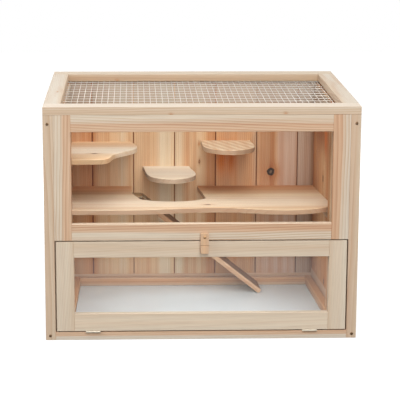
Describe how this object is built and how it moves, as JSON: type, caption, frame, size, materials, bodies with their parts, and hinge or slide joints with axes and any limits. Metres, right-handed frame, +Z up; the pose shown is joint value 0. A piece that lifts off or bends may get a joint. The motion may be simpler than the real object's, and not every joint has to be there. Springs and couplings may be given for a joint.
{
  "type": "hamster cage",
  "caption": "Wooden small-animal cage with a clear window, a drop-down clear door with a turn-button, a sloping hinged wire-mesh lid, a platform, shelves and a hinged ramp.",
  "frame": {"origin": "middle of the underside, on the middle floor bearer", "axes": "+X to the right along the width, the front faces -Y, +Z up"},
  "size_m": [0.6024, 0.3855, 0.4939],
  "materials": {
    "pine_frame": "planed pale softwood, unvarnished",
    "pine_boards": "tongue-and-groove softwood boards",
    "pine_shelves": "sanded softwood board with eased edges",
    "white_floor": "white-coated hardboard",
    "clear_sheet": "clear acrylic",
    "zinc_steel": "zinc-plated pressed steel",
    "dark_screws": "dark phosphated steel",
    "galvanised_wire": "galvanised welded wire"
  },
  "bodies": {
    "cabinet": {"back_board_1": "pine_boards", "back_board_2": "pine_boards", "back_board_3": "pine_boards", "back_board_4": "pine_boards", "back_board_5": "pine_boards", "back_board_6": "pine_boards", "back_board_7": "pine_boards", "back_top_rail": "pine_frame", "centre_shelf": "pine_shelves", "corner_batten_left": "pine_boards", "corner_batten_right": "pine_boards", "door_hinge_sill_leaves": "zinc_steel", "floor_bead_back": "pine_boards", "floor_bead_left": "pine_boards", "floor_bead_right": "pine_boards", "floor_bearers": "pine_boards", "floor_panel": "white_floor", "frame_screws": "dark_screws", "front_post_left": "pine_frame", "front_post_right": "pine_frame", "front_sill": "pine_frame", "hinge_pins": "zinc_steel", "left_shelf": "pine_shelves", "left_wall_boards": "pine_boards", "platform": "pine_shelves", "platform_cleat_left": "pine_shelves", "platform_cleat_right": "pine_shelves", "ramp_hinge_platform_leaf": "zinc_steel", "rear_post_left": "pine_frame", "rear_post_right": "pine_frame", "right_shelf": "pine_shelves", "right_wall_boards": "pine_boards", "roof_hinge_frame_leaves": "zinc_steel", "side_top_rail_left": "pine_frame", "side_top_rail_right": "pine_frame", "sole_rail_back": "pine_boards", "sole_rail_left": "pine_boards", "sole_rail_right": "pine_boards", "turn_button_screw": "dark_screws", "window_pane": "clear_sheet", "window_rail_bottom": "pine_frame", "window_rail_top": "pine_frame", "window_stile_left": "pine_frame", "window_stile_right": "pine_frame"},
    "door": {"door_hinge_door_leaves": "zinc_steel", "door_pane": "clear_sheet", "door_rail_bottom": "pine_frame", "door_rail_top": "pine_frame", "door_stile_left": "pine_frame", "door_stile_right": "pine_frame"},
    "turn_button": {"turn_button": "pine_frame"},
    "roof": {"roof_rail_back": "pine_frame", "roof_rail_front": "pine_frame", "roof_rail_left": "pine_frame", "roof_rail_right": "pine_frame", "mesh_line_wires": "galvanised_wire", "mesh_cross_wires": "galvanised_wire", "roof_hinge_roof_leaves": "zinc_steel"},
    "ramp": {"ramp": "pine_shelves", "ramp_hinge_ramp_leaf": "zinc_steel"}
  },
  "joints": [
    {"name": "door_hinge", "type": "hinge", "parent": "cabinet", "child": "door", "pos_m": [0, -0.1872, 0.0163], "axis": [1, 0, 0], "range_deg": [0, 95]},
    {"name": "turn_button_pivot", "type": "hinge", "parent": "cabinet", "child": "turn_button", "pos_m": [0.005, -0.19, 0.2024], "axis": [0, -1, 0], "continuous": true},
    {"name": "roof_hinge", "type": "hinge", "parent": "cabinet", "child": "roof", "pos_m": [0, 0.1872, 0.47874], "axis": [-1, 0, 0], "range_deg": [0, 110]},
    {"name": "ramp_hinge", "type": "hinge", "parent": "cabinet", "child": "ramp", "pos_m": [-0.11397, 0.108, 0.2345], "axis": [0, -1, 0], "range_deg": [0, 37]}
  ]
}
